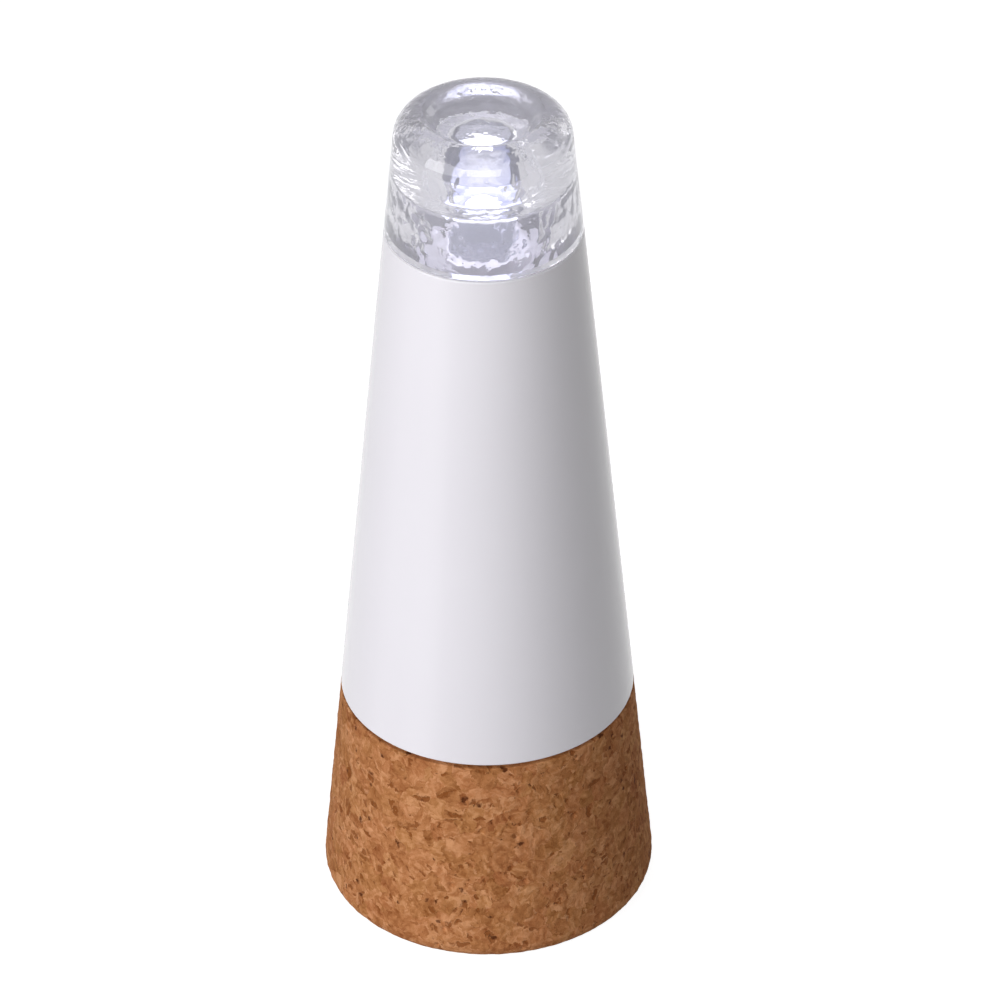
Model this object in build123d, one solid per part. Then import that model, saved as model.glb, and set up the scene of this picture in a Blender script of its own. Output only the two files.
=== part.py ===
from build123d import *
import os

# Cork bottle light: a cone that stands on its cork cap. All lengths are millimetres.
# The axis is Z, the cork's flat base is at Z = 0 and the clear lens is at the top.
# X runs along the wide side of the charging plug, and Y through its thickness.

# Outline of the whole cone
base_diameter = 28.0
top_diameter = 13.84
overall_height = 74.0
cap_height = 18.95
joint_gap = 0.3
lens_height = 10.5

# Cork cap
base_edge_radius = 1.6
cap_rim_chamfer = 0.15
cork_floor = 2.1
glue_gap = 0.05
cork_wall = 2.9

# Moulded liner inside the cork, with the socket that grips the plug
liner_wall = 1.2
liner_recess = 0.6
liner_plate = 1.2
liner_floor = 0.8
liner_web = 1.0
socket_clearance = 0.15
socket_lead_in = 0.4
grip_rib_width = 0.8
grip_rib_height = 0.1
grip_rib_place_share = 0.6
grip_rib_length_share = 0.55

# Shell of the light
shell_wall = 1.3
shell_lip_wall = 0.9
shell_edge_radius = 0.15

# Charging plug
plug_width = 12.0
plug_thickness = 4.5
plug_sheet = 0.3
plug_reach = 12.0
plug_rear_depth = 4.0
plug_corner_radius = 0.5
plug_window_width = 2.3
plug_window_length = 2.0
plug_window_pitch = 5.0
plug_window_depth = 6.2
plug_tab_width = 1.6
plug_tab_length = 2.0
tongue_thickness = 1.9
tongue_side_gap = 0.1
tongue_tip_gap = 0.4
tongue_block_length = 6.0
contact_width = 1.0
contact_thickness = 0.2
contact_outer_pitch = 7.0
contact_inner_pitch = 2.0
contact_outer_start = 1.2
contact_inner_start = 2.2
contact_tail = 1.3

# End plate, with the two posts that hold the circuit board
plate_thickness = 1.6
plate_fit_gap = 0.05
plate_slot_gap = 0.1
post_thickness = 1.6
post_depth = 3.2
post_height = 15.0
post_gap = 0.2
post_lip_reach = 1.1
post_lip_start = 5.0
board_slot_gap = 0.06

# Push button and its switch
button_y = -4.7
button_radius = 1.5
button_bore_gap = 0.1
button_flange_radius = 2.2
button_flange_height = 0.8
button_tip_round = 0.3
press_travel = 0.25
switch_width = 6.0
switch_height = 3.5
switch_base_drop = 0.9
plunger_radius = 1.7
plunger_bore_gap = 0.1
plunger_stub = 0.9
plunger_depth = 1.0
dome_radius = 1.55
dome_sheet = 0.1
dome_rise = 0.15
dome_air = 0.05
frame_sheet = 0.25
frame_leg_width = 1.2
frame_leg_length = 1.6

# Circuit board and the parts soldered to it
board_width = 11.0
board_thickness = 1.0
board_lower_gap = 0.5
board_upper_gap = 0.2
chip_width = 2.9
chip_height = 1.6
chip_depth = 1.1
chip_pin_width = 0.4
chip_pin_reach = 0.6
chip_pin_thickness = 0.2
chip_pin_pitch = 0.95
charger_rise_share = 0.32
driver_rise_share = 0.66
chip_small_length = 1.6
chip_small_width = 0.8
chip_small_depth = 0.45
small_part_pitch = 1.7
resistor_row_share = 0.45
capacitor_row_share = 0.56
resistor_count = 4
capacitor_count = 3
status_lamp_rise_share = 0.78
status_lamp_offset = 3.6

# Battery pouch, its pad, tabs and leads
pouch_width = 8.0
pouch_thickness = 4.0
pouch_corner_radius = 1.0
pouch_rise = 4.3
pouch_headroom = 10.05
pad_thickness = 0.5
pad_margin = 1.0
seal_thickness = 0.4
seal_width = 6.6
seal_height = 1.6
tab_width = 1.6
tab_thickness = 0.15
tab_length = 1.6
tab_pitch = 3.2
lead_radius = 0.4
lead_bend_radius = 1.3
lead_run_up = 0.9
lead_bare_gap = 0.02

# Lamp: a round through-hole diode with its two lead frames
lamp_radius = 2.5
lamp_flange_radius = 2.85
lamp_flange_height = 1.0
lamp_height = 8.6
lamp_drop = 1.8
lamp_lead_size = 0.5
lamp_lead_pitch = 2.54
lamp_lead_reach = 3.0
lamp_lead_standoff = 0.05
frame_foot_rise = 1.3
frame_plate_rise = 5.2
anvil_inner_edge = 0.75
anvil_outer_edge = 1.75
post_inner_edge = 1.0
post_outer_edge = 1.75
cup_top_radius = 0.72
cup_floor_radius = 0.4
cup_depth = 0.4
embed_gap = 0.02

# Holder that seats the lamp in the narrow end
holder_thickness = 1.3
holder_shell_gap = 0.2
holder_rim_wall = 0.6
holder_rim_height = 0.7
holder_lead_gap = 0.15
holder_lamp_gap = 0.1

# Clear lens
lens_spigot_length = 2.5
lens_spigot_gap = 0.12
lens_spigot_wall = 0.95
lens_cavity_draft = 0.2
lens_cavity_rise = 4.5
lens_cavity_round = 0.5
lens_edge_radius = 1.9
lens_well_gap = 0.4
lens_well_round = 0.8
lens_rim_flat = 0.42
lens_dish_slope = 0.9
lens_dish_depth = 0.75
lens_dish_round = 0.35

# One overrun serves every cut, and one share says when two edges are the same
cut_overrun = 1.0
match_share = 0.01


def cone_radius(z):
    """Radius of the outer cone at height z."""
    narrowing = (base_diameter - top_diameter) / 2
    return base_diameter / 2 - narrowing * z / overall_height


# Sizes and heights worked out from the sizes above
bore_radius = cone_radius(cap_height) - cork_wall
liner_radius = bore_radius - glue_gap
shell_bottom = cap_height + joint_gap
shell_top = overall_height - lens_height
plate_top = shell_bottom + plate_thickness
liner_top = cap_height - liner_recess
socket_floor = cork_floor + liner_floor
plug_tip = shell_bottom - plug_reach
plug_rear = plate_top + plug_rear_depth - plate_thickness
board_bottom = plug_rear + board_lower_gap
spigot_bottom = shell_top - lens_spigot_length
holder_bottom = spigot_bottom - holder_thickness
board_top = holder_bottom - board_upper_gap
board_length = board_top - board_bottom
board_face = board_thickness / 2
switch_bottom = board_bottom + switch_base_drop
plunger_tip = switch_bottom - plunger_stub
lamp_bottom = shell_top - lamp_drop
lamp_top = lamp_bottom + lamp_height
plug_inner_width = plug_width - 2 * plug_sheet
plug_inner_thickness = plug_thickness - 2 * plug_sheet
pouch_bottom = board_bottom + pouch_rise
pouch_top = board_top - pouch_headroom
pouch_near_face = board_face + pad_thickness
pouch_middle = pouch_near_face + pouch_thickness / 2


def block(x_low, x_high, y_low, y_high, z_low, z_high):
    """A box between two corners."""
    size = Box(x_high - x_low, y_high - y_low, z_high - z_low)
    return Pos((x_low + x_high) / 2, (y_low + y_high) / 2, (z_low + z_high) / 2) * size


def disc(radius, z_low, z_high, x=0, y=0):
    """An upright cylinder between two heights."""
    return Pos(x, y, (z_low + z_high) / 2) * Cylinder(radius, z_high - z_low)


def frustum(low_radius, high_radius, z_low, z_high):
    """An upright cone slice between two heights."""
    return Pos(0, 0, (z_low + z_high) / 2) * Cone(low_radius, high_radius, z_high - z_low)


def turned(points):
    """A solid turned about Z from points given as (radius, height)."""
    outline = Polyline(*[(r, 0, z) for r, z in points], close=True)
    return revolve(make_face(outline), Axis.Z)


def edges_at(shape, z, radius):
    """The round edges of that radius at that height."""
    near = shell_wall * match_share
    return [
        edge
        for edge in shape.edges().filter_by(GeomType.CIRCLE)
        if abs(edge.center().Z - z) < near and abs(edge.radius - radius) < near
    ]


def cork_cap():
    """The agglomerated cork: a blind-bored slice of the cone."""
    cork = frustum(cone_radius(0), cone_radius(cap_height), 0, cap_height)
    cork = fillet(edges_at(cork, 0, cone_radius(0)), base_edge_radius)
    cork = chamfer(edges_at(cork, cap_height, cone_radius(cap_height)), cap_rim_chamfer)
    return cork - disc(bore_radius, cork_floor, cap_height + cut_overrun)


def cap_liner():
    """A cored-out moulding: outer tube, top plate, socket tube and four webs."""
    socket_x = plug_width / 2 + socket_clearance
    socket_y = plug_thickness / 2 + socket_clearance
    tube_x = socket_x + liner_wall
    tube_y = socket_y + liner_wall
    bore = liner_radius - liner_wall
    core = disc(bore, cork_floor - cut_overrun, liner_top - liner_plate)
    core -= block(-tube_x, tube_x, -tube_y, tube_y, cork_floor, liner_top)
    core -= block(-liner_web / 2, liner_web / 2, -bore, bore, cork_floor, liner_top)
    core -= block(-bore, bore, -liner_web / 2, liner_web / 2, cork_floor, liner_top)
    liner = disc(liner_radius, cork_floor, liner_top) - core
    mouth = liner_top + cut_overrun
    liner -= block(-socket_x, socket_x, -socket_y, socket_y, socket_floor, mouth)
    rim = liner.faces().sort_by(Axis.Z)[-1].inner_wires()[0].edges()
    liner = chamfer(rim, socket_lead_in)
    rib_top = liner_top - socket_lead_in
    rib_low = rib_top - (rib_top - socket_floor) * grip_rib_length_share
    for side in (-1, 1):
        for place in (-1, 1):
            x = place * grip_rib_place_share * plug_width / 2
            wall, crest = side * socket_y, side * (socket_y - grip_rib_height)
            liner += block(
                x - grip_rib_width / 2,
                x + grip_rib_width / 2,
                min(wall, crest),
                max(wall, crest),
                rib_low,
                rib_top,
            )
    return liner


def shell_inner_radius(z):
    """Radius of the shell's inner wall at height z."""
    return cone_radius(z) - shell_wall


def body_shell():
    """The white conical shell, rebated at its wide end for the end plate."""
    low, high = cone_radius(shell_bottom), cone_radius(shell_top)
    shell = frustum(low, high, shell_bottom, shell_top)
    shell = fillet(edges_at(shell, shell_bottom, low), shell_edge_radius)
    shell = fillet(edges_at(shell, shell_top, high), shell_edge_radius)
    bottom, top = shell_bottom - cut_overrun, shell_top + cut_overrun
    shell -= frustum(shell_inner_radius(bottom), shell_inner_radius(top), bottom, top)
    return shell - disc(low - shell_lip_wall, bottom, plate_top)


def end_plate():
    """The disc that closes the wide end, with slots for the plug and button, and posts."""
    rebate = cone_radius(shell_bottom) - shell_lip_wall
    plate = disc(rebate - plate_fit_gap, shell_bottom, plate_top)
    slot_x = plug_width / 2 + plate_slot_gap
    slot_y = plug_thickness / 2 + plate_slot_gap
    over, under = plate_top + cut_overrun, shell_bottom - cut_overrun
    plate -= block(-slot_x, slot_x, -slot_y, slot_y, under, over)
    plate -= disc(button_radius + button_bore_gap, under, over, 0, button_y)
    inner = plug_width / 2 + post_gap
    slot_edge = board_width / 2 + board_slot_gap
    slot_half = board_thickness / 2 + board_slot_gap
    lip_low, top = plate_top + post_lip_start, plate_top + post_height
    for side in (-1, 1):
        outer = side * (inner + post_thickness)
        near, lip = side * inner, side * (board_width / 2 - post_lip_reach)
        plate += block(
            *sorted((near, outer)), -post_depth / 2, post_depth / 2, plate_top, top
        )
        plate += block(
            *sorted((lip, near)), -post_depth / 2, post_depth / 2, lip_low, top
        )
        plate -= block(
            *sorted((lip - side * cut_overrun, side * slot_edge)),
            -slot_half,
            slot_half,
            lip_low - cut_overrun,
            top + cut_overrun,
        )
    return plate


def rounded_bar(width, thickness, corner, z_low, z_high):
    """An upright bar of rounded rectangular section."""
    section = RectangleRounded(width, thickness, corner)
    return extrude(Pos(0, 0, z_low) * section, z_high - z_low)


def usb_shell():
    """The folded steel sleeve of the plug, with its windows and two board tabs."""
    inner_corner = plug_corner_radius - plug_sheet
    sleeve = rounded_bar(plug_width, plug_thickness, plug_corner_radius, plug_tip, plug_rear)
    sleeve -= rounded_bar(
        plug_inner_width,
        plug_inner_thickness,
        inner_corner,
        plug_tip - cut_overrun,
        plug_rear + cut_overrun,
    )
    window_low = plug_tip + plug_window_depth
    through = plug_thickness / 2 + cut_overrun
    for side in (-1, 1):
        x = side * plug_window_pitch / 2
        sleeve -= block(
            x - plug_window_width / 2,
            x + plug_window_width / 2,
            -through,
            through,
            window_low,
            window_low + plug_window_length,
        )
        tab = sorted((side * plug_inner_width / 2, side * plug_width / 2))
        half = plug_tab_width / 2
        sleeve += block(*tab, -half, half, plug_rear, plug_rear + plug_tab_length)
    return sleeve


def usb_insulator():
    """The plastic tongue that carries the contacts, and the block behind it."""
    half = plug_inner_width / 2 - tongue_side_gap
    back = plug_inner_thickness / 2 - embed_gap
    face = back - tongue_thickness
    tongue = block(-half, half, face, back, plug_tip + tongue_tip_gap, plug_rear)
    step = plug_rear - tongue_block_length
    return tongue + block(-half, half, -back, back, step, plug_rear) - contact_bars(embed_gap)


def contact_bars(grown=0):
    """Four flat contacts on the tongue, with tails that reach over the board's face."""
    face = plug_inner_thickness / 2 - embed_gap - tongue_thickness
    places = (
        (-contact_outer_pitch / 2, contact_outer_start),
        (-contact_inner_pitch / 2, contact_inner_start),
        (contact_inner_pitch / 2, contact_inner_start),
        (contact_outer_pitch / 2, contact_outer_start),
    )
    tail_face = -board_face - lead_bare_gap
    turn_z = plug_rear + board_lower_gap / 2
    bars = []
    for x, start in places:
        x_low = x - contact_width / 2 - grown
        x_high = x + contact_width / 2 + grown
        low = plug_tip + start - grown
        blade = block(x_low, x_high, face - contact_thickness - grown, face + grown, low, turn_z)
        over = block(
            x_low, x_high, tail_face - contact_thickness, face, turn_z - contact_thickness, turn_z
        )
        tail = block(
            x_low,
            x_high,
            tail_face - contact_thickness - grown,
            tail_face + grown,
            turn_z - contact_thickness,
            plug_rear + contact_tail,
        )
        bars.append(blade + over + tail)
    return bars


def usb_contacts():
    return Compound(children=contact_bars())


def main_board():
    """The circuit board, on edge along the axis."""
    half = board_width / 2
    return block(-half, half, -board_face, board_face, board_bottom, board_top)


def push_button():
    """The button: a rod through the end plate, kept in by its flange."""
    rod = disc(button_radius, liner_top, plunger_tip, 0, button_y)
    rod = fillet(edges_at(rod, liner_top, button_radius), button_tip_round)
    return rod + disc(
        button_flange_radius, plate_top, plate_top + button_flange_height, 0, button_y
    )


def switch_plunger():
    """The switch's own stem, which the button pushes."""
    return disc(plunger_radius, plunger_tip, switch_bottom + plunger_depth, 0, button_y)


def switch_body():
    """The switch housing, open towards the button."""
    half = switch_width / 2
    top = switch_bottom + switch_height
    housing = block(-half, half, button_y - half, button_y + half, switch_bottom, top)
    bore_top = switch_bottom + plunger_depth + press_travel + dome_air + dome_rise + dome_sheet
    return housing - disc(
        plunger_radius + plunger_bore_gap, switch_bottom - cut_overrun, bore_top, 0, button_y
    )


def switch_dome():
    """The snap dome at the bottom of the switch's bore, bulging towards the stem."""
    crown = switch_bottom + plunger_depth + press_travel + dome_air
    seat = crown + dome_rise + dome_sheet
    bulge = turned(
        [
            (0, crown),
            (dome_radius, crown + dome_rise),
            (dome_radius, seat),
            (0, crown + dome_sheet),
        ]
    )
    return Pos(0, button_y, 0) * bulge


def switch_frame():
    """The bent steel bracket that holds the switch square to the board."""
    half = switch_width / 2
    rear = switch_bottom + switch_height
    board = -board_face
    back = button_y + half
    bracket = block(-half, half, back, board, rear - frame_sheet, rear)
    for side in (-1, 1):
        edge = sorted((side * half, side * (half + frame_sheet)))
        bracket += block(*edge, button_y - half, board, switch_bottom, rear)
        foot = sorted((side * (half + frame_sheet), side * (half - frame_leg_width)))
        bracket += block(*foot, board - frame_sheet, board, rear - frame_sheet, rear + frame_leg_length)
    return bracket


def chip(z):
    """A small five-legged package on the front of the board, and its legs."""
    half_x, half_z = chip_width / 2, chip_height / 2
    front = -board_face
    body = block(
        -half_x, half_x, front - chip_depth, front - chip_pin_thickness, z - half_z, z + half_z
    )
    pins = []
    for side in (-1, 1):
        for place in (-1, 0, 1):
            if side > 0 and place == 0:
                continue
            x = place * chip_pin_pitch
            near, far = half_z - chip_pin_reach, half_z + chip_pin_reach
            ends = sorted((z + side * near, z + side * far))
            pins.append(
                block(
                    x - chip_pin_width / 2,
                    x + chip_pin_width / 2,
                    front - chip_pin_thickness,
                    front,
                    *ends,
                )
            )
    return body, pins


def charge_chip():
    return chip(board_bottom + charger_rise_share * board_length)[0]


def driver_chip():
    return chip(board_bottom + driver_rise_share * board_length)[0]


def chip_pins():
    pins = chip(board_bottom + charger_rise_share * board_length)[1]
    pins += chip(board_bottom + driver_rise_share * board_length)[1]
    return Compound(children=pins)


def small_part(x, z):
    """One surface-mounted part, lying along the board."""
    front = -board_face
    return block(
        x - chip_small_width / 2,
        x + chip_small_width / 2,
        front - chip_small_depth,
        front,
        z - chip_small_length / 2,
        z + chip_small_length / 2,
    )


def small_row(count, rise_share):
    """A row of surface-mounted parts across the board."""
    z = board_bottom + rise_share * board_length
    first = -(count - 1) / 2 * small_part_pitch
    return Compound(children=[small_part(first + i * small_part_pitch, z) for i in range(count)])


def resistors():
    return small_row(resistor_count, resistor_row_share)


def capacitors():
    return small_row(capacitor_count, capacitor_row_share)


def status_lamp():
    return small_part(status_lamp_offset, board_bottom + status_lamp_rise_share * board_length)


def battery_pouch():
    """The flat cell, with the crimped seal at its top."""
    half = pouch_width / 2
    far = pouch_near_face + pouch_thickness
    cell = block(-half, half, pouch_near_face, far, pouch_bottom, pouch_top)
    cell = fillet(cell.edges().filter_by(Axis.Z), pouch_corner_radius)
    seal = block(
        -seal_width / 2,
        seal_width / 2,
        pouch_middle - seal_thickness / 2,
        pouch_middle + seal_thickness / 2,
        pouch_top,
        pouch_top + seal_height,
    )
    return cell + seal


def battery_pad():
    """The foam pad that sticks the pouch to the board."""
    half = pouch_width / 2 - pad_margin
    return block(
        -half,
        half,
        board_face,
        pouch_near_face,
        pouch_bottom + pad_margin,
        pouch_top - pad_margin,
    )


def battery_tabs():
    """Two nickel strips out of the seal."""
    low = pouch_top + seal_height
    tabs = []
    for side in (-1, 1):
        x = side * tab_pitch / 2
        tabs.append(
            block(
                x - tab_width / 2,
                x + tab_width / 2,
                pouch_middle - tab_thickness / 2,
                pouch_middle + tab_thickness / 2,
                low,
                low + tab_length,
            )
        )
    return Compound(children=tabs)


def battery_lead(side):
    """An insulated lead from a tab, over in one bend to the back of the board."""
    x = side * tab_pitch / 2
    start = pouch_top + seal_height + tab_length
    top = start + lead_run_up + lead_bend_radius
    route = FilletPolyline(
        (x, pouch_middle, start),
        (x, pouch_middle, top),
        (x, board_face, top),
        radius=lead_bend_radius,
    )
    section = Plane((x, pouch_middle, start), z_dir=(0, 0, 1)) * Circle(lead_radius)
    return sweep(section, path=route)


def red_lead():
    return battery_lead(1)


def black_lead():
    return battery_lead(-1)


def lamp_frames(grown=0):
    """Cup-bearing frame and post of the lamp, each with its lead down to the board."""
    half = lamp_lead_size / 2 + grown
    foot = lamp_bottom + frame_foot_rise - grown
    plate = lamp_bottom + frame_plate_rise + grown
    low = board_top - lamp_lead_reach
    face = -board_face - lamp_lead_standoff
    bend_low, bend_top = board_top + board_upper_gap / 2, board_top + board_upper_gap
    frames = []
    for side, inner, outer in (
        (-1, -anvil_inner_edge, anvil_outer_edge),
        (1, post_inner_edge, post_outer_edge),
    ):
        x = side * lamp_lead_pitch / 2
        x_low, x_high = x - half, x + half
        lead = block(x_low, x_high, -half, half, bend_low, foot + half)
        lead += block(x_low, x_high, face - 2 * half, half, bend_low, bend_top)
        lead += block(x_low, x_high, face - 2 * half, face, low, bend_top)
        flag = sorted((side * inner, side * (outer + grown)))
        lead += block(*flag, -half, half, foot, plate)
        frames.append(lead)
    frames[0] += frustum(
        cup_floor_radius + lamp_lead_size / 2 + grown,
        cup_top_radius + lamp_lead_size / 2 + grown,
        plate - cup_depth - lamp_lead_size - 2 * grown,
        plate,
    )
    if not grown:
        frames[0] -= frustum(cup_floor_radius, cup_top_radius, plate - cup_depth, plate)
    return frames


def lamp_leads():
    return Compound(children=lamp_frames())


def lamp_chip():
    """The glowing filling of the lamp's reflector cup."""
    top = lamp_bottom + frame_plate_rise
    return frustum(
        cup_floor_radius - embed_gap,
        cup_top_radius - 2 * embed_gap,
        top - cup_depth + embed_gap,
        top,
    )


def lamp_bulb():
    """The clear bullet-shaped epoxy of the lamp."""
    centre = lamp_top - lamp_radius
    bulb = disc(lamp_radius, lamp_bottom, centre) + Pos(0, 0, centre) * Sphere(lamp_radius)
    bulb += disc(lamp_flange_radius, lamp_bottom, lamp_bottom + lamp_flange_height)
    for frame in lamp_frames(embed_gap):
        bulb -= frame
    return bulb


def lamp_holder():
    """The white seat of the lamp: a disc, a post and a rim round the lamp's flange."""
    radius = shell_inner_radius(spigot_bottom) - holder_shell_gap
    seat = disc(radius, holder_bottom, spigot_bottom)
    rim_top = lamp_bottom + holder_rim_height
    seat_radius = lamp_flange_radius + holder_lamp_gap
    seat += disc(seat_radius + holder_rim_wall, spigot_bottom, rim_top)
    seat -= disc(seat_radius, lamp_bottom, rim_top + cut_overrun)
    hole = lamp_lead_size / 2 + holder_lead_gap
    for side in (-1, 1):
        x = side * lamp_lead_pitch / 2
        seat -= block(x - hole, x + hole, -hole, hole, holder_bottom - cut_overrun, rim_top)
    return seat


def lens_outside():
    """Outer form of the lens: the end of the cone, with a rounded rim."""
    head_top = cone_radius(overall_height)
    form = frustum(cone_radius(shell_top), head_top, shell_top, overall_height)
    return fillet(edges_at(form, overall_height, head_top), lens_edge_radius)


def lens():
    """The clear lens: a solid head with a dished top, over a hollow for the lamp."""
    form = lens_outside()
    spigot = shell_inner_radius(shell_top) - lens_spigot_gap
    form += disc(spigot, spigot_bottom, shell_top)
    mouth = spigot - lens_spigot_wall
    ceiling = shell_top + lens_cavity_rise
    cavity = frustum(mouth, mouth - lens_cavity_draft, spigot_bottom, ceiling)
    cavity = fillet(edges_at(cavity, ceiling, mouth - lens_cavity_draft), lens_cavity_round)
    well_radius = lamp_radius + lens_well_gap
    well_top = lamp_top + lens_well_gap
    well = disc(well_radius, spigot_bottom, well_top)
    well = fillet(edges_at(well, well_top, well_radius), lens_well_round)
    dish_radius = cone_radius(overall_height) - lens_edge_radius - lens_rim_flat
    dish_floor = overall_height - lens_dish_depth
    dish = frustum(dish_radius - lens_dish_slope, dish_radius, dish_floor, overall_height)
    dish = fillet(edges_at(dish, dish_floor, dish_radius - lens_dish_slope), lens_dish_round)
    form = form - cavity - well - dish
    return fillet(edges_at(form, overall_height, dish_radius), lens_dish_round)


sub_parts = {
    "cork_cap": cork_cap,
    "cap_liner": cap_liner,
    "body_shell": body_shell,
    "end_plate": end_plate,
    "usb_shell": usb_shell,
    "usb_insulator": usb_insulator,
    "usb_contacts": usb_contacts,
    "main_board": main_board,
    "push_button": push_button,
    "switch_plunger": switch_plunger,
    "switch_body": switch_body,
    "switch_dome": switch_dome,
    "switch_frame": switch_frame,
    "charge_chip": charge_chip,
    "driver_chip": driver_chip,
    "chip_pins": chip_pins,
    "resistors": resistors,
    "capacitors": capacitors,
    "status_lamp": status_lamp,
    "battery_pouch": battery_pouch,
    "battery_pad": battery_pad,
    "battery_tabs": battery_tabs,
    "red_lead": red_lead,
    "black_lead": black_lead,
    "lamp_leads": lamp_leads,
    "lamp_chip": lamp_chip,
    "lamp_bulb": lamp_bulb,
    "lamp_holder": lamp_holder,
    "lens": lens,
}

os.makedirs("parts", exist_ok=True)
for name, make in sub_parts.items():
    shape = make()
    shape.label = name
    export_step(shape, f"parts/{name}.step")
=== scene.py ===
# Cork bottle light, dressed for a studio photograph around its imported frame.
# Sizes are in millimetres, and become metres where a shape or a light is made.
import math

import bmesh
import bpy
from mathutils import Matrix, Vector, noise


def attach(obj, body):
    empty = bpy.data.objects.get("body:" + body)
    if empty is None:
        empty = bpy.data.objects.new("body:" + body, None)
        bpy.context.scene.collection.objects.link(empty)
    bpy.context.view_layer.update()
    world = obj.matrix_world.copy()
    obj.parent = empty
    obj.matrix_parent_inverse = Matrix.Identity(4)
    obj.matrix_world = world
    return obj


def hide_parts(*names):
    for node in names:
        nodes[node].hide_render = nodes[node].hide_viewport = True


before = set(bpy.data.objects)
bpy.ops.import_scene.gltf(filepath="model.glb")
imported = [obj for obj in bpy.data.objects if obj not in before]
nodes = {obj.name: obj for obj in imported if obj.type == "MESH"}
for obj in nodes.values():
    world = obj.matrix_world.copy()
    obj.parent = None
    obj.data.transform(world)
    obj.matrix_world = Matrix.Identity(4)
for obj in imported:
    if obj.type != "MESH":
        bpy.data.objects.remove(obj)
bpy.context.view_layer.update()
mm = 0.001
print("frame loaded:", len(nodes), "nodes")

# The whole outside is one cone, from the cork's foot to the top of the lens
cone = {"footRadius": 14.0, "topRadius": 6.92, "height": 74.0}


def coneRadius(height):
    return cone["footRadius"] + (cone["topRadius"] - cone["footRadius"]) * height / cone["height"]


# Colours and nodes


def linearColour(hexCode):
    channels = [int(hexCode[i : i + 2], 16) / 255 for i in (1, 3, 5)]
    return [c / 12.92 if c <= 0.04045 else ((c + 0.055) / 1.055) ** 2.4 for c in channels] + [1.0]


def addNode(tree, kind, links=None, values=None, **settings):
    node = tree.nodes.new(kind)
    for name, value in settings.items():
        setattr(node, name, value)
    for socket, value in (values or {}).items():
        node.inputs[socket].default_value = value
    for socket, source in (links or {}).items():
        output = source if hasattr(source, "is_output") else source.outputs[0]
        tree.links.new(output, node.inputs[socket])
    return node


def fillRamp(ramp, stops):  # stops are (position, hex colour)
    elements = ramp.color_ramp.elements
    while len(elements) < len(stops):
        elements.new(1.0)
    for element, (position, hexCode) in zip(elements, stops):
        element.position = position
        element.color = linearColour(hexCode)


def startMaterial(name, **surfaceValues):
    material = bpy.data.materials.new(name)
    material.use_nodes = True
    tree = material.node_tree
    tree.nodes.clear()
    surface = addNode(tree, "ShaderNodeBsdfPrincipled")
    for socket, value in surfaceValues.items():
        surface.inputs[socket.replace("_", " ")].default_value = value
    addNode(tree, "ShaderNodeOutputMaterial", {0: surface})
    place = addNode(tree, "ShaderNodeTexCoord").outputs["Object"]
    inMillimetres = addNode(
        tree, "ShaderNodeMapping", {0: place}, {"Scale": (1 / mm, 1 / mm, 1 / mm)}
    )
    return material, tree, surface, inMillimetres


# Shapes


def turnShape(corners, steps=192, closed=False, fine=None, sectors=16):
    # corners are (radius, height, rounding)
    # fine is (least radius, greatest step) of the edges to divide
    shape = bmesh.new()
    points = [shape.verts.new((radius * mm, 0, height * mm)) for radius, height, _ in corners]
    for pair in zip(points, points[1:]):
        shape.edges.new(pair)
    if closed:
        shape.edges.new((points[-1], points[0]))
    for point, (_, _, rounding) in zip(points, corners):
        if rounding:
            bmesh.ops.bevel(
                shape,
                geom=[point],
                offset=rounding * mm,
                offset_type="OFFSET",
                segments=10,
                profile=0.5,
                affect="VERTICES",
                material=-1,
            )
    if fine:
        leastRadius, greatestStep = fine
        for edge in list(shape.edges):
            if min(vert.co.x for vert in edge.verts) >= leastRadius * mm:
                cuts = int(edge.calc_length() / mm / greatestStep)
                if cuts:
                    bmesh.ops.subdivide_edges(shape, edges=[edge], cuts=cuts)
    # one sector is spun, then copied round, because one full spin is slow
    turn = {"cent": (0, 0, 0), "axis": (0, 0, 1), "dvec": (0, 0, 0)}
    bmesh.ops.spin(
        shape,
        geom=shape.verts[:] + shape.edges[:],
        angle=math.tau / sectors,
        steps=steps // sectors,
        use_merge=False,
        use_duplicate=False,
        **turn,
    )
    bmesh.ops.spin(
        shape,
        geom=shape.verts[:] + shape.edges[:] + shape.faces[:],
        angle=math.tau * (sectors - 1) / sectors,
        steps=sectors - 1,
        use_merge=False,
        use_duplicate=True,
        **turn,
    )
    bmesh.ops.remove_doubles(shape, verts=shape.verts, dist=0.0002 * mm)
    bmesh.ops.recalc_face_normals(shape, faces=shape.faces)
    return shape


def finishPiece(name, shape, body, slot, material, *replaced, sharpAbove=35):
    mesh = bpy.data.meshes.new(name)
    shape.to_mesh(mesh)
    shape.free()
    mesh.shade_smooth()
    mesh.set_sharp_from_angle(angle=math.radians(sharpAbove))
    mesh.materials.append(material)
    piece = bpy.data.objects.new(name, mesh)
    bpy.context.scene.collection.objects.link(piece)
    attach(piece, body)
    if replaced:
        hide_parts(*replaced)
    print("made", name, len(mesh.polygons), "faces")
    return piece


# Agglomerated cork: granules pressed with binder and sanded, so matte and mottled,
# with dark bark and open pores
cork = {
    "height": 18.95,
    "footRounding": 1.6,
    "rimRounding": 0.15,
    "boreRadius": 9.287,
    "boreFloor": 2.1,
    "granule": 1.45,
    "bendSize": 1.25,
    "bend": 1.6,
    "grain": 0.42,
    "strokeSpacing": 0.66,
    "fleckSpacing": 0.75,
    "speckSpacing": 1.1,
    "pores": 0.12,  # depth of the torn cells in the finish
    "relief": 0.14,  # height of the granules in the mesh
    "swellSpacings": (1.1, 0.5),
    "swellShare": 0.6,
    "deepestPit": 0.2,
    "pitReach": 0.3,
    "pitChance": 0.55,
    "skinRadius": 11.0,  # the skin's roughness starts outside this
    "smoothRim": 0.2,
}


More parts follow.
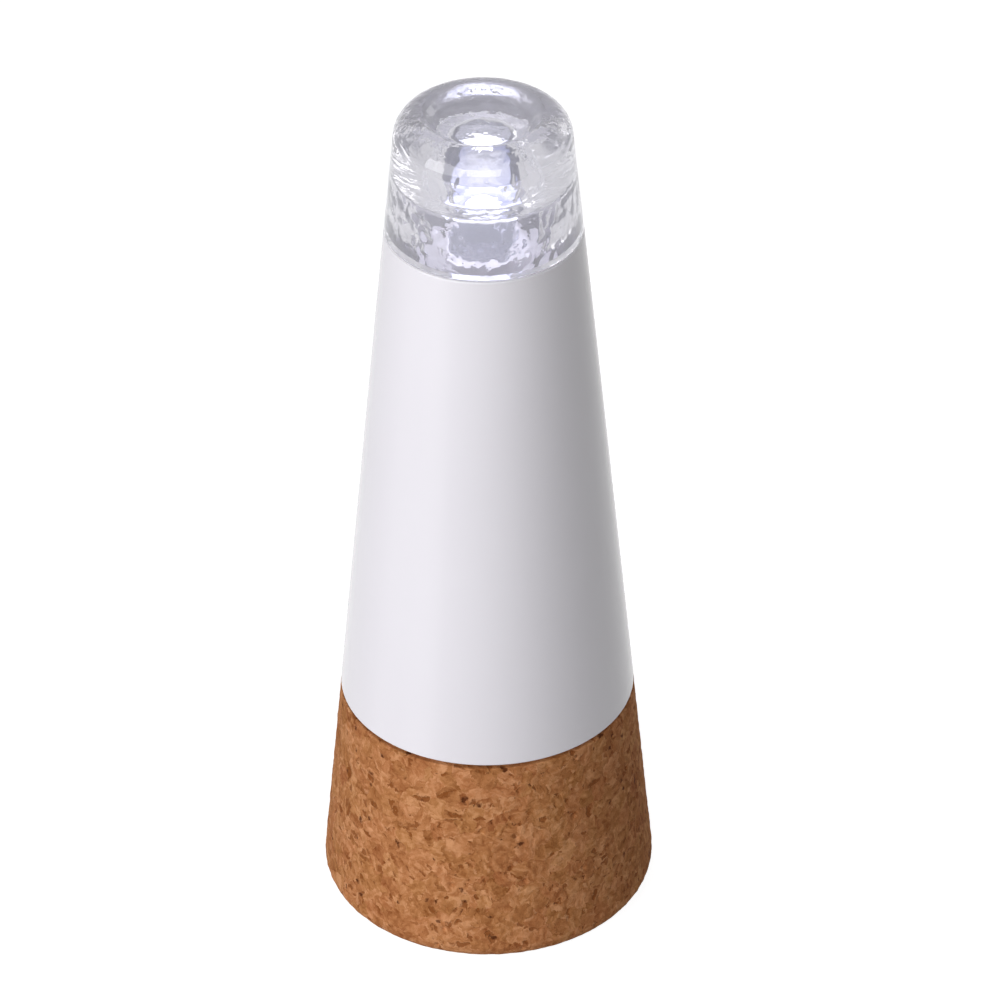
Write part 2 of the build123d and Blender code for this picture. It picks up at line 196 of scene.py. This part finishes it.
def corkMask(tree, place, spacing, least, reach, strength):
    # spots in the cells of a pattern, by chance
    cells = addNode(tree, "ShaderNodeTexVoronoi", {"Vector": place}, {"Scale": 1 / spacing})
    chance = addNode(tree, "ShaderNodeSeparateColor", {0: cells.outputs["Color"]})
    size = addNode(
        tree,
        "ShaderNodeMapRange",
        {0: chance.outputs[0]},
        {"From Min": least, "From Max": 1.0, "To Min": 0.0, "To Max": reach},
    )
    inside = addNode(
        tree, "ShaderNodeMath", {0: size, 1: cells.outputs["Distance"]}, operation="SUBTRACT"
    )
    return addNode(
        tree,
        "ShaderNodeMapRange",
        {0: inside},
        {"From Min": 0.0, "From Max": 0.12, "To Max": strength},
    )


def agglomeratedCork():
    material, tree, surface, place = startMaterial("agglomeratedCork", Roughness=0.92)
    surface.inputs["Specular IOR Level"].default_value = 0.2
    warp = addNode(
        tree,
        "ShaderNodeTexNoise",
        {"Vector": place},
        {"Scale": 1 / cork["bendSize"], "Detail": 4.0, "Roughness": 0.65},
    )
    bent = addNode(
        tree,
        "ShaderNodeVectorMath",
        {0: warp.outputs["Color"], 2: place},
        {1: (cork["bend"],) * 3},
        operation="MULTIPLY_ADD",
    )
    granules = addNode(
        tree, "ShaderNodeTexVoronoi", {"Vector": bent}, {"Scale": 1 / cork["granule"]}
    )
    cell = addNode(tree, "ShaderNodeSeparateColor", {0: granules.outputs["Color"]})
    # each granule's grain runs its own way
    angle = addNode(
        tree, "ShaderNodeMath", {0: cell.outputs[1]}, {1: math.tau}, operation="MULTIPLY"
    )
    rotated = addNode(
        tree,
        "ShaderNodeVectorRotate",
        {"Vector": bent, "Angle": angle},
        {"Axis": (0.6, 0.5, 0.62)},
    )
    stretched = addNode(tree, "ShaderNodeMapping", {0: rotated}, {"Scale": (1.0, 0.28, 0.75)})
    grain = addNode(
        tree,
        "ShaderNodeTexNoise",
        {"Vector": stretched},
        {"Scale": 1 / cork["grain"], "Detail": 3.0, "Roughness": 0.6},
    )
    tone = addNode(
        tree, "ShaderNodeMix", {2: cell.outputs[0], 3: grain.outputs["Fac"]}, {0: 0.84}
    )
    brown = addNode(tree, "ShaderNodeValToRGB", {0: tone.outputs[0]})
    fillRamp(brown, [(0.28, "#7E4216"), (0.5, "#B6794A"), (0.7, "#DEA273")])
    hue = addNode(tree, "ShaderNodeValToRGB", {0: cell.outputs[2]})
    fillRamp(hue, [(0.0, "#B86E46"), (0.5, "#B4784A"), (1.0, "#B28045")])
    tinted = addNode(tree, "ShaderNodeMix", {6: brown, 7: hue}, {0: 0.2}, data_type="RGBA")
    colour = tinted.outputs[2]
    # brown strokes of torn cells, pale cut cells, then dark specks of bark
    strokes = corkMask(tree, stretched, cork["strokeSpacing"], 0.2, 0.48, 0.8)
    flecks = corkMask(tree, stretched, cork["fleckSpacing"], 0.3, 0.42, 0.6)
    specks = corkMask(tree, bent, cork["speckSpacing"], 0.5, 0.3, 0.9)
    for mask, hexCode in ((strokes, "#84481A"), (flecks, "#DEA274"), (specks, "#532404")):
        mixed = addNode(
            tree,
            "ShaderNodeMix",
            {0: mask, 6: colour},
            {7: linearColour(hexCode)},
            data_type="RGBA",
        )
        colour = mixed.outputs[2]
    tree.links.new(colour, surface.inputs["Base Color"])
    hollows = addNode(tree, "ShaderNodeMath", {0: strokes, 1: specks}, operation="ADD")
    heights = addNode(
        tree, "ShaderNodeMath", {0: grain.outputs["Fac"], 1: hollows}, operation="SUBTRACT"
    )
    bump = addNode(
        tree,
        "ShaderNodeBump",
        {"Height": heights},
        {"Strength": 0.7, "Distance": cork["pores"] * mm},
    )
    tree.links.new(bump.outputs[0], surface.inputs["Normal"])
    return material


def roughenCork(shape):
    # sanded granules stand a little proud of the binder, and torn cells leave pits
    for vert in shape.verts:
        spot = vert.co / mm
        reach = math.hypot(spot.x, spot.y)
        if reach < cork["skinRadius"] or spot.z > cork["height"] - cork["smoothRim"]:
            continue
        distances, centres = noise.voronoi(spot / cork["speckSpacing"])
        pick = noise.cell(centres[0] * 7.3)  # one number for each cell of the pattern
        pit = 0.0
        if pick > 1 - cork["pitChance"]:
            pit = max(0.0, cork["pitReach"] * pick - distances[0]) * 1.2
        coarse, fine = (noise.noise(spot / spacing) for spacing in cork["swellSpacings"])
        swell = coarse * cork["swellShare"] + fine * cork["swellShare"]
        depth = cork["relief"] * (0.2 - 0.5 * swell) + min(pit, cork["deepestPit"])
        outward = Vector((spot.x / reach, spot.y / reach, 0.0))
        if spot.z < 1e-4:  # the foot stays on or above the floor
            outward, depth = Vector((0, 0, -1)), max(depth, 0.0)
        vert.co -= outward * depth * mm


corkShape = turnShape(
    [
        (0, 0, 0),
        (cone["footRadius"], 0, cork["footRounding"]),
        (coneRadius(cork["height"]), cork["height"], cork["rimRounding"]),
        (cork["boreRadius"], cork["height"], cork["rimRounding"]),
        (cork["boreRadius"], cork["boreFloor"], 0),
        (0, cork["boreFloor"], 0),
    ],
    steps=560,
    fine=(11.2, 0.165),
)
roughenCork(corkShape)
corkCap = finishPiece("corkCap", corkShape, "cap", "cork", agglomeratedCork(), "cork_cap")

# Polished white ABS: glossy and even, with the faint ripple of a moulded surface
shell = {
    "bottom": 19.25,
    "top": 63.5,
    "wall": 1.3,
    "rebateWall": 0.9,
    "rebateTop": 20.85,
    "edgeRounding": 0.15,
    "ripple": 3.0,
}


def polishedWhiteAbs():
    material, tree, surface, place = startMaterial("polishedWhiteAbs", Roughness=0.2, IOR=1.52)
    clouds = addNode(tree, "ShaderNodeTexNoise", {"Vector": place}, {"Scale": 0.06, "Detail": 2.0})
    tint = addNode(tree, "ShaderNodeValToRGB", {0: clouds.outputs["Fac"]})
    fillRamp(tint, [(0.3, "#EDEBF0"), (0.7, "#EFEDF2")])
    tree.links.new(tint.outputs[0], surface.inputs["Base Color"])
    ripples = addNode(
        tree, "ShaderNodeTexNoise", {"Vector": place}, {"Scale": 1 / shell["ripple"], "Detail": 2.0}
    )
    bump = addNode(
        tree,
        "ShaderNodeBump",
        {"Height": ripples.outputs["Fac"]},
        {"Strength": 0.05, "Distance": 0.05 * mm},
    )
    tree.links.new(bump.outputs[0], surface.inputs["Normal"])
    return material


whiteAbs = polishedWhiteAbs()
shellShape = turnShape(
    [
        (coneRadius(shell["bottom"]) - shell["rebateWall"], shell["bottom"], shell["edgeRounding"]),
        (coneRadius(shell["bottom"]), shell["bottom"], shell["edgeRounding"]),
        (coneRadius(shell["top"]), shell["top"], shell["edgeRounding"]),
        (coneRadius(shell["top"]) - shell["wall"], shell["top"], 0.05),
        (coneRadius(shell["rebateTop"]) - shell["wall"], shell["rebateTop"], 0),
        (coneRadius(shell["bottom"]) - shell["rebateWall"], shell["rebateTop"], 0),
    ],
    steps=256,
    closed=True,
)
finishPiece("whiteShell", shellShape, "light", "white_plastic", whiteAbs, "body_shell")

# Moulded clear acrylic: bright and refracting, with slightly wavy inner walls
lens = {
    "joint": 63.53,
    "footRounding": 0.2,
    "spigotBottom": 61.03,
    "spigotRadius": 6.505,
    "cavityRadius": 5.555,
    "cavityTopRadius": 5.355,
    "cavityTop": 68.0,
    "topRadius": 6.92,
    "top": 74.0,
    "topRounding": 1.9,
    "wellRadius": 2.9,
    "wellTop": 70.7,
    "wellRounding": 0.8,
    "dishRimRadius": 4.6,
    "dishRadius": 3.7,
    "dishFloor": 73.25,
    "dishRounding": 0.35,
    "dents": 0.1,
    "dentSpacing": 0.9,
    "fineSpacing": 0.45,
    "ceilingDents": 0.06,
    "ripple": 0.85,
    "glowHeight": 68.0,
    "glowReach": 8.0,
    "hollowRadii": (2.6, 5.8),  # what lies between these is dented
    "smoothCeiling": 0.5,
    # half width and half depth of the dark grey ring painted as shade at the well's top corner
    "shadedRingWidth": 0.45,
    "shadedRingDepth": 0.4,
    "insideRadius": 6.6,  # the moulded hollow is wavy inside this
}


def clearAcrylic():
    material, tree, surface, place = startMaterial(
        "mouldedClearAcrylic",
        Roughness=0.0,
        IOR=1.49,
        Transmission_Weight=0.9,
        Emission_Strength=0.1,
    )
    # painted glow: a faint emission over the whole lens, brightest near the chip, stands in for the
    # lamp's light scattered in the plastic
    offset = addNode(
        tree, "ShaderNodeVectorMath", {0: place}, {1: (0, 0, -lens["glowHeight"])}, operation="ADD"
    )
    away = addNode(tree, "ShaderNodeVectorMath", {0: offset}, operation="LENGTH")
    fade = addNode(
        tree, "ShaderNodeMapRange", {0: away.outputs["Value"]}, {"From Max": lens["glowReach"]}
    )
    glow = addNode(tree, "ShaderNodeValToRGB", {0: fade})
    fillRamp(glow, [(0.0, "#D4DAF2"), (0.5, "#BCBFD2"), (1.0, "#B2B2B8")])
    tree.links.new(glow.outputs[0], surface.inputs["Emission Color"])
    # painted shade: a dark grey ring is painted into the colour at the top corner of the well
    flat = addNode(tree, "ShaderNodeVectorMath", {0: place}, {1: (1, 1, 0)}, operation="MULTIPLY")
    reach = addNode(tree, "ShaderNodeVectorMath", {0: flat}, operation="LENGTH")
    fromEdge = addNode(
        tree,
        "ShaderNodeMath",
        {0: reach.outputs["Value"]},
        {1: lens["wellRadius"] - 0.3, 2: lens["shadedRingWidth"]},
        operation="COMPARE",
    )
    height = addNode(tree, "ShaderNodeSeparateXYZ", {0: place})
    highUp = addNode(
        tree,
        "ShaderNodeMath",
        {0: height.outputs["Z"]},
        {1: lens["wellTop"] - 0.35, 2: lens["shadedRingDepth"]},
        operation="COMPARE",
    )
    edge = addNode(tree, "ShaderNodeMath", {0: fromEdge, 1: highUp}, operation="MULTIPLY")
    clouds = addNode(tree, "ShaderNodeTexNoise", {"Vector": place}, {"Scale": 0.2, "Detail": 1.0})
    tint = addNode(tree, "ShaderNodeValToRGB", {0: clouds.outputs["Fac"]})
    fillRamp(tint, [(0.3, "#C2C1C6"), (0.7, "#CAC9CE")])
    paintedShadeRing = addNode(
        tree, "ShaderNodeMix", {0: edge, 6: tint}, {7: linearColour("#5A5A62")}, data_type="RGBA"
    )
    tree.links.new(paintedShadeRing.outputs[2], surface.inputs["Base Color"])
    # the moulded hollow is wavy and the outside nearly smooth
    inside = addNode(
        tree,
        "ShaderNodeMapRange",
        {0: reach.outputs["Value"]},
        {
            "From Min": lens["insideRadius"],
            "From Max": lens["insideRadius"] + 0.1,
            "To Min": 0.35,
            "To Max": 0.06,
        },
    )
    ripples = addNode(
        tree, "ShaderNodeTexNoise", {"Vector": place}, {"Scale": 1 / lens["ripple"], "Detail": 2.0}
    )
    bump = addNode(
        tree,
        "ShaderNodeBump",
        {"Height": ripples.outputs["Fac"], "Strength": inside},
        {"Distance": 0.25 * mm},
    )
    tree.links.new(bump.outputs[0], surface.inputs["Normal"])
    return material


def dentLens(shape):
    # the hollow's wall, ceiling and well are hammered, to scatter the lamp's light
    nearest, farthest = lens["hollowRadii"]
    for vert in shape.verts:
        spot = vert.co / mm
        reach = math.hypot(spot.x, spot.y)
        if not nearest <= reach <= farthest or spot.z > lens["wellTop"] - lens["smoothCeiling"]:
            continue
        fine = noise.noise(spot / lens["fineSpacing"])
        dent = noise.noise(spot / lens["dentSpacing"]) + 0.6 * fine
        if spot.z > lens["cavityTop"] - 0.1 and reach > lens["wellRadius"] + 0.3:
            vert.co.z += dent * lens["ceilingDents"] * mm
        else:
            vert.co += Vector((spot.x, spot.y, 0)) / reach * dent * lens["dents"] * mm


lensShape = turnShape(
    [
        (0, lens["wellTop"], 0),
        (lens["wellRadius"], lens["wellTop"], lens["wellRounding"]),
        (lens["wellRadius"], lens["cavityTop"], 0.2),
        (lens["cavityTopRadius"], lens["cavityTop"], 0.3),
        (lens["cavityRadius"], lens["spigotBottom"], 0.1),
        (lens["spigotRadius"], lens["spigotBottom"], 0.1),
        (lens["spigotRadius"], lens["joint"], 0),
        (coneRadius(lens["joint"]), lens["joint"], lens["footRounding"]),
        (lens["topRadius"], lens["top"], lens["topRounding"]),
        (lens["dishRimRadius"], lens["top"], 0.3),
        (lens["dishRadius"], lens["dishFloor"], lens["dishRounding"]),
        (0, lens["dishFloor"], 0),
    ],
    steps=256,
    fine=(2.5, 0.25),
)
dentLens(lensShape)
clearLens = finishPiece("clearLens", lensShape, "light", "clear_acrylic", clearAcrylic(), "lens")

# Cast epoxy bulb: clear, with a painted glow in bands up its height round its chip, and painted
# light on its flange
bulb = {"bottom": 61.7, "flangeRadius": 2.85, "flangeTop": 62.7, "radius": 2.5, "top": 70.3}


def castEpoxy():
    material, tree, surface, place = startMaterial(
        "castEpoxy", Roughness=0.05, IOR=1.53, Transmission_Weight=0.95, Emission_Strength=1.8
    )
    # painted glow: emission that rises in bright and dim bands up the bulb, dim grey over the
    # flange as painted light
    height = addNode(tree, "ShaderNodeSeparateXYZ", {0: place})
    rise = addNode(
        tree,
        "ShaderNodeMapRange",
        {0: height.outputs["Z"]},
        {"From Min": bulb["flangeTop"], "From Max": bulb["top"]},
    )
    glow = addNode(tree, "ShaderNodeValToRGB", {0: rise})
    stops = [(0.0, "#525359"), (0.4, "#5B5D69"), (0.53, "#F4F6FF"), (0.6, "#B8BCE4")]
    fillRamp(glow, stops + [(0.7, "#6C719C"), (0.84, "#B0B6E0"), (0.94, "#FFFFFF")])
    tree.links.new(glow.outputs[0], surface.inputs["Emission Color"])
    surface.inputs["Base Color"].default_value = linearColour("#F4F6FF")
    return material


bulbShape = turnShape(
    [
        (0, bulb["bottom"], 0),
        (bulb["flangeRadius"], bulb["bottom"], 0.1),
        (bulb["flangeRadius"], bulb["flangeTop"], 0.1),
        (bulb["radius"], bulb["flangeTop"], 0),
        (bulb["radius"], bulb["top"], bulb["radius"] - 0.01),
        (0, bulb["top"], 0),
    ],
    steps=96,
)
epoxy = castEpoxy()
finishPiece("epoxyBulb", bulbShape, "light", "lamp_epoxy", epoxy, "lamp_bulb")


# The other finishes, each with its real texture's size in millimetres and two near tones
finishes = {
    # injection-moulded black ABS with a fine spark-eroded grain, so a soft grey sheen
    "liner_plastic": ("grainedBlackAbs", "#1D1D1F", "#232325", 0.42, 0.25, 0.25, 0.0),
    # injection-moulded nylon, darker and a little glossier
    "black_plastic": ("mouldedBlackNylon", "#101011", "#151516", 0.38, 0.3, 0.2, 0.0),
    # nickel over rolled steel: bright, with fine rolling lines
    "plated_steel": ("nickelPlatedSteel", "#A5A39E", "#B3B1AC", 0.24, 0.15, 0.12, 1.0),
    # white thermoplastic of a plug's tongue, satin from its mould
    "insulator_plastic": ("mouldedWhiteThermoplastic", "#DEDEDA", "#E6E6E2", 0.35, 0.4, 0.15, 0.0),
    # hard gold flashed over copper: yellow and slightly brushed
    "gold_plating": ("goldFlashedCopper", "#E2B75E", "#EBC474", 0.22, 0.1, 0.1, 1.0),
    # green solder mask over glass cloth, whose weave shows through the gloss
    "circuit_board": ("solderMaskedBoard", "#0D5A2A", "#116A33", 0.28, 0.5, 0.2, 0.0),
    # transfer-moulded epoxy resin, matte black with a fine blasted face
    "chip_resin": ("mouldedChipResin", "#161617", "#1C1C1D", 0.6, 0.08, 0.25, 0.0),
    # dipped tin: pale, soft metal with a rippled skin
    "tin_plating": ("dippedTin", "#BDBDBB", "#CBCBC9", 0.3, 0.2, 0.2, 1.0),
    # glass-glazed resistor film
    "resistor_film": ("glazedResistorFilm", "#141416", "#1B1B1E", 0.2, 0.3, 0.1, 0.0),
    # fired tan ceramic, faintly mottled
    "capacitor_ceramic": ("firedTanCeramic", "#9C7B52", "#AA8960", 0.5, 0.12, 0.15, 0.0),
    # aluminium laminate under clear nylon film, with soft creases
    "pouch_foil": ("laminatedPouchFilm", "#B4B5B8", "#C4C5C8", 0.3, 1.2, 0.5, 1.0),
    # open-cell foam tape
    "foam": ("selfAdhesiveFoam", "#1B1B1B", "#262626", 0.95, 0.3, 0.8, 0.0),
    # rolled nickel strip, greyer and warmer than plating
    "nickel": ("rolledNickelStrip", "#B7B4AA", "#C4C1B8", 0.32, 0.15, 0.15, 1.0),
    # extruded vinyl over stranded wire
    "red_insulation": ("extrudedRedVinyl", "#B81814", "#C41E18", 0.3, 0.5, 0.1, 0.0),
    "black_insulation": ("extrudedBlackVinyl", "#101011", "#161617", 0.3, 0.5, 0.1, 0.0),
}


def finishedMaterial(name, first, second, roughness, grain, relief, metallic):
    material, tree, surface, place = startMaterial(name, Roughness=roughness, Metallic=metallic)
    texture = addNode(
        tree, "ShaderNodeTexNoise", {"Vector": place}, {"Scale": 1 / grain, "Detail": 3.0}
    )
    tint = addNode(tree, "ShaderNodeValToRGB", {0: texture.outputs["Fac"]})
    fillRamp(tint, [(0.35, first), (0.65, second)])
    tree.links.new(tint.outputs[0], surface.inputs["Base Color"])
    bump = addNode(
        tree,
        "ShaderNodeBump",
        {"Height": texture.outputs["Fac"]},
        {"Strength": relief, "Distance": 0.1 * mm},
    )
    tree.links.new(bump.outputs[0], surface.inputs["Normal"])
    return material


def litPhosphor():  # yellow phosphor driven by a blue chip, so nearly white where it is brightest
    material, tree, surface, place = startMaterial("litPhosphor", Emission_Strength=9.0)
    texture = addNode(tree, "ShaderNodeTexNoise", {"Vector": place}, {"Scale": 6.0})
    glow = addNode(tree, "ShaderNodeValToRGB", {0: texture.outputs["Fac"]})
    fillRamp(glow, [(0.3, "#F4F4FF"), (0.7, "#FFFFF0")])
    tree.links.new(glow.outputs[0], surface.inputs["Emission Color"])
    tree.links.new(glow.outputs[0], surface.inputs["Base Color"])
    return material


slotMaterials = {slot: finishedMaterial(*finish) for slot, finish in finishes.items()}
slotMaterials["white_plastic"] = whiteAbs
slotMaterials["lamp_epoxy"] = epoxy
slotMaterials["glowing_phosphor"] = litPhosphor()
slotMaterials["cork"] = corkCap.data.materials[0]
slotMaterials["clear_acrylic"] = clearLens.data.materials[0]
for node in nodes.values():
    for place in node.material_slots:
        place.material = slotMaterials[place.material.name.split(".")[0]]
print("dressed", len(nodes), "frame nodes in", len(slotMaterials), "finishes")

# Studio

studio = {
    "floorHalf": 3000.0,
    "floorWhite": 0.4,
    "floorSeen": 0.9,
    "fill": 0.025,
    "softboxes": {  # width, height, azimuth from the camera's side, elevation, radiance, colour
        "keySoftbox": (900.0, 700.0, -50.0, 20.0, 4.0, "#FDFCFF"),
        "frontSoftbox": (700.0, 500.0, 0.0, 25.0, 2.95, "#FFFEFF"),
        "backSoftbox": (500.0, 500.0, 130.0, 15.0, 1.6, "#FFFDFD"),
    },
    # lights the side away from the camera, and is kept out of reflections and out of the lens
    "farFill": (700.0, 700.0, 180.0, 20.0, 2.4, "#FFFFFF"),
    "reach": 1000.0,
    "aim": (0.0, 0.0, 40.0),
}


lampLight = {"count": 3, "radius": 4.2, "height": 66.5, "power": 1.1e-3, "colour": "#F0F0FA"}


def seenDirectly(tree):
    # 1 for camera, glossy and transmission rays, 0 for the light that falls on things
    path = addNode(tree, "ShaderNodeLightPath")
    first = addNode(
        tree,
        "ShaderNodeMath",
        {0: path.outputs["Is Camera Ray"], 1: path.outputs["Is Glossy Ray"]},
        operation="MAXIMUM",
    )
    return addNode(
        tree,
        "ShaderNodeMath",
        {0: first, 1: path.outputs["Is Transmission Ray"]},
        operation="MAXIMUM",
    )


def paleFloor():
    material = bpy.data.materials.new("paleFloor")
    material.use_nodes = True
    tree = material.node_tree
    tree.nodes.clear()
    lit = addNode(tree, "ShaderNodeBsdfDiffuse", values={0: (studio["floorWhite"],) * 3 + (1.0,)})
    share = addNode(
        tree,
        "ShaderNodeMath",
        {0: seenDirectly(tree)},
        {1: studio["floorSeen"]},
        operation="MULTIPLY",
    )
    # painted reflection: a white card is painted into the floor's emission to the left in front,
    # for glossy rays only, so it shows only as a soft reflection in the glossy body
    place = addNode(tree, "ShaderNodeTexCoord").outputs["Object"]
    turn = addNode(tree, "ShaderNodeTexGradient", {"Vector": place}, gradient_type="RADIAL")
    paintedReflectionCard = addNode(tree, "ShaderNodeValToRGB", {0: turn.outputs["Fac"]})
    edges = [(0.0, "#7C7C7C"), (0.075, "#8C8C8C")]
    fillRamp(paintedReflectionCard, edges + [(0.1, "#CCCCCC"), (0.145, "#CCCCCC"), (0.155, "#000000")])
    path = addNode(tree, "ShaderNodeLightPath")
    shine = addNode(
        tree, "ShaderNodeMath", {0: paintedReflectionCard, 1: path.outputs["Is Glossy Ray"]}, operation="MULTIPLY"
    )
    strength = addNode(tree, "ShaderNodeMath", {0: shine, 1: share}, operation="ADD")
    white = addNode(tree, "ShaderNodeEmission", {1: strength}, {0: (1, 1, 1, 1)})
    both = addNode(tree, "ShaderNodeAddShader", {0: lit, 1: white})
    addNode(tree, "ShaderNodeOutputMaterial", {0: both})
    return material


def addFloor():
    shape = bmesh.new()
    bmesh.ops.create_grid(shape, x_segments=1, y_segments=1, size=studio["floorHalf"] * mm)
    mesh = bpy.data.meshes.new("floor")
    shape.to_mesh(mesh)
    shape.free()
    mesh.materials.append(paleFloor())
    floor = bpy.data.objects.new("floor", mesh)
    bpy.context.scene.collection.objects.link(floor)


def addSoftbox(name, width, height, azimuth, elevation, radiance, colour):
    light = bpy.data.lights.new(name, "AREA")
    light.shape = "RECTANGLE"
    light.size = width * mm
    light.size_y = height * mm
    light.energy = radiance * math.pi * width * height * mm * mm
    light.color = linearColour(colour)[:3]
    softbox = bpy.data.objects.new(name, light)
    turn, rise = math.radians(azimuth), math.radians(elevation)
    away = Vector(
        (math.sin(turn) * math.cos(rise), -math.cos(turn) * math.cos(rise), math.sin(rise))
    )
    place = (Vector(studio["aim"]) + away * studio["reach"]) * mm
    facing = away.to_track_quat("Z", "Y").to_matrix().to_4x4()
    softbox.matrix_world = Matrix.Translation(place) @ facing
    softbox.visible_camera = False
    bpy.context.scene.collection.objects.link(softbox)
    return softbox


def addLampLight():
    # the lamp's own light in the hollow, which its clear bulb would keep from the solver
    for count in range(lampLight["count"]):
        turn = math.tau * count / lampLight["count"]
        light = bpy.data.lights.new("lampLight", "POINT")
        light.energy = lampLight["power"]
        light.color = linearColour(lampLight["colour"])[:3]
        light.shadow_soft_size = 0.5 * mm
        glow = bpy.data.objects.new("lampLight", light)
        reach = lampLight["radius"]
        spot = Vector((math.sin(turn) * reach, math.cos(turn) * reach, lampLight["height"]))
        glow.location = spot * mm
        glow.visible_camera = glow.visible_glossy = glow.visible_transmission = False
        bpy.context.scene.collection.objects.link(glow)


def setWorld():
    world = bpy.data.worlds.new("studio")
    world.use_nodes = True
    bpy.context.scene.world = world
    tree = world.node_tree
    tree.nodes.clear()
    light = addNode(
        tree, "ShaderNodeBackground", values={0: (1, 1, 1, 1), 1: studio["fill"]}
    )
    seen = addNode(tree, "ShaderNodeBackground", values={0: (1, 1, 1, 1), 1: 1.0})
    both = addNode(tree, "ShaderNodeMixShader", {0: seenDirectly(tree), 1: light, 2: seen})
    addNode(tree, "ShaderNodeOutputWorld", {0: both})


# The photograph's own view, found from the object's outline
view = {
    "target": (1.14, 0.0, 37.2),
    "elevation": 35.31,
    "distance": 483.0,
    "roll": -0.36,
    "focalLength": 213.6,
    "sensor": 36.0,
}


def placeCamera():
    elevation = math.radians(view["elevation"])
    back = Vector((0, -math.cos(elevation), math.sin(elevation)))
    camera = bpy.data.objects.new("camera", bpy.data.cameras.new("camera"))
    camera.data.sensor_width = view["sensor"]
    camera.data.lens = view["focalLength"]
    camera.data.clip_start = 10 * mm
    aim = back.to_track_quat("Z", "Y").to_matrix() @ Matrix.Rotation(
        math.radians(view["roll"]), 3, "Z"
    )
    place = (Vector(view["target"]) + back * view["distance"]) * mm
    camera.matrix_world = Matrix.Translation(place) @ aim.to_4x4()
    bpy.context.scene.collection.objects.link(camera)
    bpy.context.scene.camera = camera


addFloor()
for name, values in studio["softboxes"].items():
    addSoftbox(name, *values)
farFill = addSoftbox("farFill", *studio["farFill"])
farFill.visible_glossy = farFill.visible_transmission = False
addLampLight()
setWorld()
placeCamera()
bpy.context.scene.view_settings.view_transform = "Standard"
print("studio ready")
